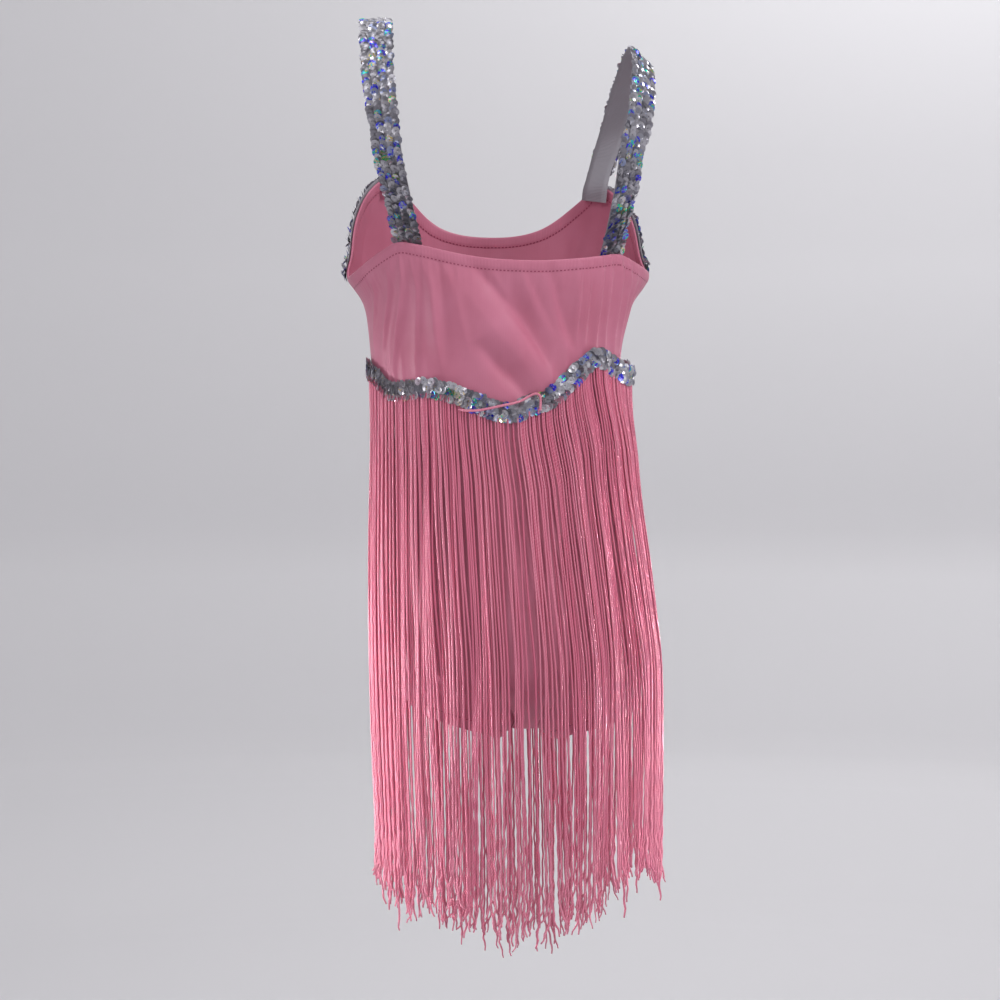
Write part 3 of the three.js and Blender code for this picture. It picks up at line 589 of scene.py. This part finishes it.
def sequin_band(name, node, place, length, width, rows, seed, span=(0, 1), lean=lambda u: 0.32 + 0 * u,
                loose=0.2, painted_pale_share=lambda u: 0 * u):
    """A ribbon 0.6 mm thick and 0.88 of the band's width, with its sequins, as one piece. The
    sequins cover the span only."""
    steps = max(int(length / 3), 8)
    u, v = np.meshgrid(np.linspace(0, 1, steps), np.linspace(-0.88, 0.88, 5), indexing="ij")
    face = place(u.ravel(), v.ravel()).reshape(steps, 5, 3)
    out = unit(np.cross(np.gradient(face, axis=0), np.gradient(face, axis=1)))
    loop = np.concatenate([face + out * 0.3, (face - out * 0.3)[:, ::-1]], 1)
    loop = np.concatenate([loop, loop[:, :1]], 1)
    band_quads = grid_quads(steps, loop.shape[1])
    low, high = span
    points, quads, tint = sequins(
        lambda a, b: place(low + a * (high - low), b), length * (high - low), rows, seed, lean, loose, painted_pale_share)
    every = np.concatenate([loop.reshape(-1, 3), points])
    along_mm = np.repeat(np.linspace(0, length, steps), loop.shape[1])
    across_mm = np.tile(np.linspace(0, 2 * width, loop.shape[1]), steps)
    uv = np.zeros((len(every), 2))
    uv[: along_mm.size] = np.stack([along_mm, across_mm], -1)
    piece = mesh_piece(name, every, np.concatenate([band_quads, quads + along_mm.size]), uv,
                       {"tint": np.concatenate([0 * along_mm, tint])})
    piece.data.materials.append(ribbon)
    piece.data.materials.append(sequin_film)
    slots = np.zeros(len(band_quads) + len(quads), np.int32)
    slots[len(band_quads):] = 1
    piece.data.polygons.foreach_set("material_index", slots)
    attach(piece, "root")
    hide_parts(node)
    return piece


for side, outward in (("left", 1), ("right", -1)):
    rows = [(k, *row) for k, row in enumerate(STRAPS[side])]
    fine = np.linspace(0, len(rows) - 1, 400)
    x, y, drop, lean = (smooth_curve(rows, k, fine) for k in range(1, 5))
    line = np.stack([x, y, -drop], -1)
    lean = np.radians(lean)[:, None]
    # Across the band: straight out to the side, as far as its run allows, then tipped by the lean.
    ahead = unit(np.gradient(line, axis=0))
    flat = unit(np.array([outward, 0, 0]) - ahead * (ahead[:, :1] * outward))
    out = np.cross(ahead, flat) * outward
    wide = (flat * np.cos(lean) - out * np.sin(lean)) * outward
    reached = lengths(line)

    def place(u, v, line=line, wide=wide, reached=reached):
        """The middle line at a share of its length, and half a width to each side of it."""
        at = np.asarray(u) * reached[-1]
        middle, across = (
            np.stack([np.interp(at, reached, part[:, k]) for k in range(3)], -1) for part in (line, wide))
        return middle + (np.asarray(v) * STRAP_WIDTH / 2)[..., None] * across

    # The banding is sewn inside the panels' corners, so the sequins stop above the turned edges.
    half = len(drop) // 2
    low = reached[np.argmin(np.abs(drop[:half] - SEQUINS_END[side][0]))] / reached[-1]
    high = reached[half + np.argmin(np.abs(drop[half:] - SEQUINS_END[side][1]))] / reached[-1]
    sequin_band(
        f"sequin_strap_{side}", f"strap_{side}", place, reached[-1], STRAP_WIDTH, 4, 21 + outward,
        (low, high))

# ---- The sequin trims -----------------------------------------------------------------------
# A three-row band of the same sequins is sewn in a wave all round the body, over the head of the
# fringe, and a two-row band edges each front armhole.
#
# The trim's middle line: angle, drop, and how far it stands off the cloth.
TRIM_LINE = [
    (0, 268, 0), (19, 278, 0), (31, 288, 0), (43, 289, 0), (57, 287.5, 0), (68, 291.5, 0), (80, 300, 0),
    (90, 307, 0), (98, 301, 0), (105, 297, 0), (118, 280, 0), (131, 263.5, 0), (141, 266, 1), (150, 271, 2),
    (166, 275, 5), (180, 272, 8), (196, 266, 8), (212, 281, 4), (232, 314, 0), (252, 339, 0), (270, 346, 0),
    (288, 338, 0), (310, 310, 0), (334, 279, 0), (360, 268, 0),
]
TRIM_WIDTH, ARMHOLE_TRIM_WIDTH = 15.5, 12


def along_trim(angle, below, off):
    """A point that many millimetres from the trim's middle line, at right angles to it, and that
    far off the cloth."""
    rise = smooth_curve(TRIM_LINE, 1, angle + 1) - smooth_curve(TRIM_LINE, 1, angle - 1)
    slope = rise / (2 * MM_PER_DEGREE)
    drop = smooth_curve(TRIM_LINE, 1, angle) + below * np.sqrt(1 + slope**2)
    point = torso(np.where(angle > 180, angle - 360, angle), drop)
    return point + around(angle) * (smooth_curve(TRIM_LINE, 2, angle) + off)[..., None]


for face, low, high in (("back", 0.1, 179.9), ("front", 180.1, 359.9)):
    fine = np.linspace(low, high, 300)
    reached = lengths(along_trim(fine, 0 * fine, 0 * fine))

    def place(u, v, fine=fine, reached=reached):
        """On the trim's line at a share of its length, 1.7 mm off the cloth."""
        angle = np.interp(np.asarray(u) * reached[-1], reached, fine)
        return along_trim(angle, -np.asarray(v) * TRIM_WIDTH / 2, 1.7 + 0 * angle)

    # Over the left ribs the sequins stand on edge, as the band is slack there, and most of them
    # are given the palest film: painted light, as these sequins lie in shade.
    slack_and_painted_light = 1 if face == "back" else 0
    sequin_band(
        f"sequin_trim_{face}", f"trim_{face}", place, reached[-1], TRIM_WIDTH, 3, 31 + FACING[face],
        lean=lambda u, slack_and_painted_light=slack_and_painted_light: 0.32 + 0.14 * slack_and_painted_light * (1 - ease(u, 0.3, 0.45)), loose=0.28,
        painted_pale_share=lambda u, slack_and_painted_light=slack_and_painted_light: 0.65 * slack_and_painted_light * (1 - ease(u, 0.3, 0.5)))

for side, low, high in (("left", 2.5, 41), ("right", 139, 177.5)):
    fine = np.linspace(low, high, 120)
    reached = lengths(torso(-fine, top_edge("front", fine) + 4))

    def place(u, v, fine=fine, reached=reached):
        """Down the torso from 2.4 mm above the armhole's edge to 8.4 mm below, 1.6 mm off it."""
        angle = np.interp(np.asarray(u) * reached[-1], reached, fine)
        below = 5.4 * (1 + np.asarray(v)) - 2.4
        drop = top_edge("front", angle) + edge_drop("front", angle) / EDGE_WIDTH * below
        return torso(-angle, drop) + around(-angle) * 1.6

    sequin_band(
        f"sequin_armhole_{side}", f"armhole_trim_{side}", place, reached[-1], ARMHOLE_TRIM_WIDTH, 2,
        41 if side == "left" else 43, loose=0.38)

# ---- The fringe -----------------------------------------------------------------------------
# Rayon cord fringe, 400 mm long: two-ply cords 1.6 mm thick, looped through a woven header that
# the trim covers. They hang in uneven locks, two deep, and their cut ends curl and spread.
#
# The ring that they hang on: drop, centre, half width, depth behind, depth in front.
FRINGE_RING = [
    (262, 4, 104, 76, 80), (300, 3.5, 105, 72, 78), (356, 2, 107, 76, 80), (420, -1.7, 111.5, 87, 84),
    (460, -4.2, 114, 95, 86), (500, -6.8, 116, 98.5, 86), (560, -8, 115.5, 99, 85),
    (650, -9.5, 113.5, 97, 84), (760, -10, 113, 95, 83),
]
CORDS = 178  # in each half
CORD_SEED = {"back": 204, "front": 70}
CORD_LENGTH, CORD_RADIUS, CORD_SIDES = 391, 0.82, 6
PLIES, PLY_TURN = 2, 2.6  # a groove passes once in each turn, in mm
RING_MM_PER_DEGREE = 1.9
# Shares of the length at which a cord's tube has a ring: closer below, where it crinkles.
STATIONS = np.concatenate([np.linspace(0, 0.46, 13), np.linspace(0.46, 1, 60)[1:]])
# Partings, where the cords hang apart: angle, share of the length at its middle, half its run, and
# how far the cords move aside in mm.
PARTINGS = [
    (40, 0.3, 0.4, 0.6), (61, 0.25, 0.35, 0.8), (71, 0.1, 0.22, 1.0), (86, 0.28, 0.24, 0.7),
    (103, 0.5, 0.3, 0.5), (118, 0.15, 0.32, 1.0), (121.5, 0.2, 0.34, 1.0), (140, 0.4, 0.3, 0.6),
]

# Bright rayon: a silky filament with a long highlight. Its two plies wind round each other, so
# the winding's grooves are drawn across the cord at a slant, as a bump and as a darker colour:
# painted shade in the grooves.
rayon, rayon_shader = new_material(
    "twisted_rayon_cord", Roughness=0.42, Specular_IOR_Level=0.5, Sheen_Weight=0.08, Sheen_Roughness=0.3,
    Sheen_Tint=linear("#ffd3df"),
)
rayon_round, rayon_along, _ = add_node(rayon, "ShaderNodeSeparateXYZ", Vector=cloth_place(rayon)).outputs
winding = maths(rayon, "ADD", maths(rayon, "MULTIPLY", rayon_round, 2 * math.pi * PLIES),
                maths(rayon, "MULTIPLY", rayon_along, 2 * math.pi / PLY_TURN))
ply_relief_and_painted_shade = maths(rayon, "ADD", maths(rayon, "MULTIPLY", maths(rayon, "SINE", winding), 0.5), 0.5)
# Each cord's shade attribute holds its own tone and a paler outer layer, which is painted light.
rayon_tone_and_layer_light = add_node(rayon, "ShaderNodeAttribute", {"attribute_name": "shade"}).outputs["Fac"]
# The winding's grooves darken the colour here: painted shade.
rayon_lit = maths(
    rayon, "ADD", maths(rayon, "MULTIPLY", ply_relief_and_painted_shade, 0.35), maths(rayon, "MULTIPLY", rayon_tone_and_layer_light, 0.65))
rayon_colour = ramp(rayon, rayon_lit, [(0.0, "#d06685"), (0.5, "#dc7893"), (1.0, "#ea95ac")])
rayon.node_tree.links.new(rayon_colour, rayon_shader.inputs["Base Color"])
emboss(rayon, rayon_shader, ply_relief_and_painted_shade, 0.35, 0.0003)


def cord_lines(low, high, count, seed, chance):
    """The cords' middle lines, from the header's low edge. Their places are uneven, less so by the
    side seams, and a few are 16 mm longer. Each hangs straight down from the trim and over its
    first sixth eases on to the ring. There it is drawn aside into locks 17 and 60 mm wide, finer
    ones of 6 mm by the header and the partings, and set in or out by its layer. It crinkles in
    sines 13, 21 and 17 mm long that grow from the middle down, and over its last tenth bends into
    a hook of its own, which lifts the tip. Gives the lines, the length run, the layers and the
    way out at each root."""
    angle = np.linspace(low, high, count)
    inside = ease(np.minimum(angle - low, high - angle), 0, 8)
    uneven = 0.65 * wander(angle * RING_MM_PER_DEGREE, 13, seed + 9) + chance.uniform(-0.3, 0.3, count)
    angle = angle + inside * uneven
    root = smooth_curve(TRIM_LINE, 1, angle) + 4
    length = CORD_LENGTH + 5 + 4 * wander(angle * RING_MM_PER_DEGREE, 30, seed + 1)
    length = length + 7 * chance.normal(0, 1, count).clip(-1.6, 1.6)
    length = length + np.where(chance.uniform(0, 1, count) > 0.965, 16, 0)
    layer = (chance.uniform(0, 1, count) > 0.62) * 1.0
    s = STATIONS[None, :]
    at = angle[:, None] * RING_MM_PER_DEGREE
    locks = wander(at + 20 * s, 17, seed + 2) + 1.6 * wander(at + 40 * s, 60, seed + 3)
    locks = locks * ease(s, 0, 0.7) + 0.6 * wander(at - 12 * s, 6, seed + 4) * ease(s, 0, 0.2)
    for centre, middle, reach, apart in PARTINGS:
        away = (angle[:, None] - centre) * RING_MM_PER_DEGREE
        locks = locks + apart * np.sign(away) * np.exp(-((away / 6) ** 2) - ((s - middle) / reach) ** 2)
    spread = chance.normal(0, 1, count)[:, None]
    own = chance.uniform(0, 2 * np.pi, (3, count))[..., None]
    crinkle = 0.08 + 0.5 * ease(s, 0.45, 1.0) + 0.6 * ease(s, 0.85, 1.0)
    run = length[:, None] * s
    waves = [np.sin(run * 2 * np.pi / w + own[k]) * crinkle for k, w in enumerate((13.0, 21.0, 17.0))]
    aside = locks + 0.7 * spread * s**1.5 + 0.4 * waves[0] + 0.4 * waves[1]
    swung = angle[:, None] + aside / RING_MM_PER_DEGREE
    hanging = on_ring(FRINGE_RING, swung, root[:, None] + run)
    depth = (1.5 * layer - 1.4)[:, None] + 0.6 * wander(at + 40 * s, 30, seed + 5) + 0.5 * waves[2]
    hanging = hanging + around(swung) * depth[..., None]
    sewn = along_trim(angle, 4 + 0 * angle, 1.2 + 0.8 * layer)[:, None] - np.array([0, 0, 1]) * run[..., None]
    settle = ease(s, 0, 0.16)[..., None]
    line = sewn * (1 - settle) + hanging * settle
    bend = np.clip((s - 0.9) / 0.1, 0, 1) ** 2
    towards = chance.uniform(0, 2 * np.pi, count)[:, None]
    hook = (chance.gamma(2.0, 2.1, count) + 0.8)[:, None].clip(0, 11) * bend
    out = around(angle)
    across = np.stack([-out[:, 1], out[:, 0], 0 * angle], -1)
    line = line + across[:, None] * (hook * np.cos(towards))[..., None]
    line = line + out[:, None] * (hook * np.sin(towards) * 0.5)[..., None]
    line[..., 2] += 0.5 * hook * bend
    return line, run, layer, out


def cords(low, high, count, seed):
    """A tube round each cord's line, thinner over its last fortieth and closed at the cut end. Its
    shade is its own tone, paler towards the end, and paler in the outer layer: painted light, as
    the inner layer lies in the outer one's shade."""
    chance = np.random.default_rng(seed)
    line, run, layer, out = cord_lines(low, high, count, seed, chance)
    s = STATIONS[None, :]
    ahead = unit(np.gradient(line, axis=1))
    side = unit(np.cross(ahead, out[:, None] + 0 * ahead))
    face = np.cross(side, ahead)
    radius = CORD_RADIUS * (1 - 0.3 * ease(s, 0.975, 1.0)) * chance.uniform(0.85, 1.15, count)[:, None]
    turn = np.arange(CORD_SIDES) * 2 * np.pi / CORD_SIDES
    points = (
        line[:, :, None]
        + side[:, :, None] * (radius[..., None] * np.cos(turn))[..., None]
        + face[:, :, None] * (radius[..., None] * np.sin(turn))[..., None]
    )
    stations = len(STATIONS)
    ring, j = np.arange(stations - 1)[:, None] * CORD_SIDES, np.arange(CORD_SIDES)[None, :]
    here, after = ring + j, ring + (j + 1) % CORD_SIDES
    tube = np.stack([here, after, after + CORD_SIDES, here + CORD_SIDES], -1)
    # Two quads close the six sides of the cut end.
    end = (stations - 1) * CORD_SIDES
    tip = np.array([[end, end + 1, end + 2, end + 3], [end, end + 3, end + 4, end + 5]])
    one = np.concatenate([tube.reshape(-1, 4), tip])
    quads = (one[None] + (np.arange(count) * stations * CORD_SIDES)[:, None, None]).reshape(-1, 4)
    uv = np.stack(np.broadcast_arrays((turn / (2 * np.pi))[None, None, :], run[..., None]), -1)
    # The outer layer's 0.2 is painted light: the inner cords lie in the outer ones' shade.
    shade = (chance.uniform(0, 0.75, count) + 0.2 * layer)[:, None] + 0.35 * ease(s, 0.75, 1)
    shade = np.broadcast_to(shade[..., None], points.shape[:3])
    return points.reshape(-1, 3), quads, uv, shade


for face, low, high in (("back", 0.3, 179.7), ("front", 180.3, 359.7)):
    points, quads, uv, shade = cords(low, high, CORDS, CORD_SEED[face])
    fringe = mesh_piece(f"cord_fringe_{face}", points, quads, uv, values={"shade": shade})
    fringe.data.materials.append(rayon)
    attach(fringe, "root")
    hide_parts(f"fringe_{face}")

# ---- The loose tape -------------------------------------------------------------------------
# At the middle of the back a narrow tape that held the folded fringe has come loose: it lies in
# a shallow loop over the trim, and its free end hooks down over the sequins.
#
# Its middle line: angle, drop, distance off the cloth. Its section: across, off its middle.
TAPE = [
    (71.5, 304.5, 3.4), (76, 305.5, 5.2), (81.5, 304.8, 6.4), (89, 301.3, 6.6), (94.2, 297.8, 6.4),
    (99, 292.8, 6.2), (101.2, 293, 6.6), (101.9, 297, 6.6), (101.5, 305, 5.4),
]
TAPE_SECTION = np.array([
    (0.95, 0), (0.65, 0.3), (0, 0.4), (-0.65, 0.3), (-0.95, 0), (-0.65, -0.3), (0, -0.4), (0.65, -0.3),
    (0.95, 0),
])
rows = [(k, *row) for k, row in enumerate(TAPE)]
fine = np.linspace(0, len(TAPE) - 1, 90)
angle, drop, off = (smooth_curve(rows, k, fine) for k in (1, 2, 3))
tape_line = torso(angle, drop) + around(angle) * off[:, None]
tape_ahead = unit(np.gradient(tape_line, axis=0))
tape_wide = unit(np.cross(around(angle), tape_ahead))
tape_out = np.cross(tape_ahead, tape_wide)
tape_points = (
    tape_line[:, None]
    + tape_wide[:, None] * TAPE_SECTION[None, :, :1]
    + tape_out[:, None] * TAPE_SECTION[None, :, 1:]
)
tape_uv = np.stack(np.broadcast_arrays(fine[:, None] * 6, np.arange(9)[None, :] * 0.6), -1)
tape = mesh_piece("loose_tape", tape_points, grid_quads(90, 9), tape_uv, {"shade": np.full((90, 9), 0.9)})
tape.data.materials.append(rayon)
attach(tape, "root")

# ---- The studio -----------------------------------------------------------------------------
# A pale seamless bowl, so that every side has the same ground, and broad soft lights.
SWEEP = [  # distance from the middle, height
    (0, -1.3), (1.6, -1.3), (2.6, -1.24), (3.2, -1.0), (3.5, -0.5), (3.6, 0.3), (3.6, 2.6),
]
turn = np.linspace(0, 2 * np.pi, 96, endpoint=False)[:, None]
fine = np.linspace(0, len(SWEEP) - 1, 60)
reach = np.interp(fine, range(len(SWEEP)), [r for r, _ in SWEEP])[None, :]
rise = np.interp(fine, range(len(SWEEP)), [z for _, z in SWEEP])[None, :]
ground_points = np.stack(np.broadcast_arrays(reach * np.cos(turn), reach * np.sin(turn), rise), -1) * 1000
ground = mesh_piece("studio_ground", ground_points, grid_quads(96, 60, True))
paper, _ = new_material("studio_paper", Base_Color=linear("#cfced1"), Roughness=0.9)
ground.data.materials.append(paper)


def soft_light(name, size, power, place, aim=(0, 0, -0.4), spread=180):
    """A square area light that faces a point: it is tipped by the angle from straight up to the
    way back from there, and turned to it. A small spread keeps it to what is near there."""
    lamp = bpy.data.lights.new(name, "AREA")
    lamp.shape, lamp.size, lamp.energy, lamp.spread = "SQUARE", size, power, math.radians(spread)
    item = bpy.data.objects.new(name, lamp)
    bpy.context.collection.objects.link(item)
    item.location = place
    item.visible_camera = False
    away = np.array(place) - np.array(aim)
    item.rotation_euler = (
        math.atan2(math.hypot(away[0], away[1]), away[2]), 0, math.atan2(away[1], away[0]) + math.pi / 2)


# The key is behind the wearer, high up on the right, and two narrow beams pick out the hips. The
# last two light the ground in front of the wearer.
soft_light("key", 0.8, 35, (-1.5, 1.6, 1.7), aim=(0, 0, -0.3))
soft_light("key_left", 1.4, 13, (1.6, 2.0, 1.3), aim=(0, 0, -0.3))
soft_light("camera_side", 2.0, 11, (0, 3.0, -0.3))
soft_light("left_hip", 0.3, 0.7, (2.3, -0.25, -0.6), aim=(0, 0, -0.54), spread=14)
soft_light("right_hip", 0.3, 0.46, (-2.3, -0.25, -0.6), aim=(0, 0, -0.54), spread=14)
soft_light("front_side", 2.0, 9, (0.3, -2.3, 0.9))
soft_light("overhead", 2.0, 12, (0, 0.3, 2.3))
soft_light("wall_right", 1.2, 56, (-1.3, -1.9, 2.3), aim=(-1.5, -3.6, -0.5))
soft_light("wall_left", 1.2, 6, (1.3, -1.9, 2.3), aim=(1.4, -3.6, -0.5))
world = bpy.context.scene.world or bpy.data.worlds.new("studio_air")
bpy.context.scene.world = world
world.use_nodes = True
world.node_tree.nodes["Background"].inputs[0].default_value = linear("#eceaee")
world.node_tree.nodes["Background"].inputs[1].default_value = 0.2

bpy.context.view_layer.update()
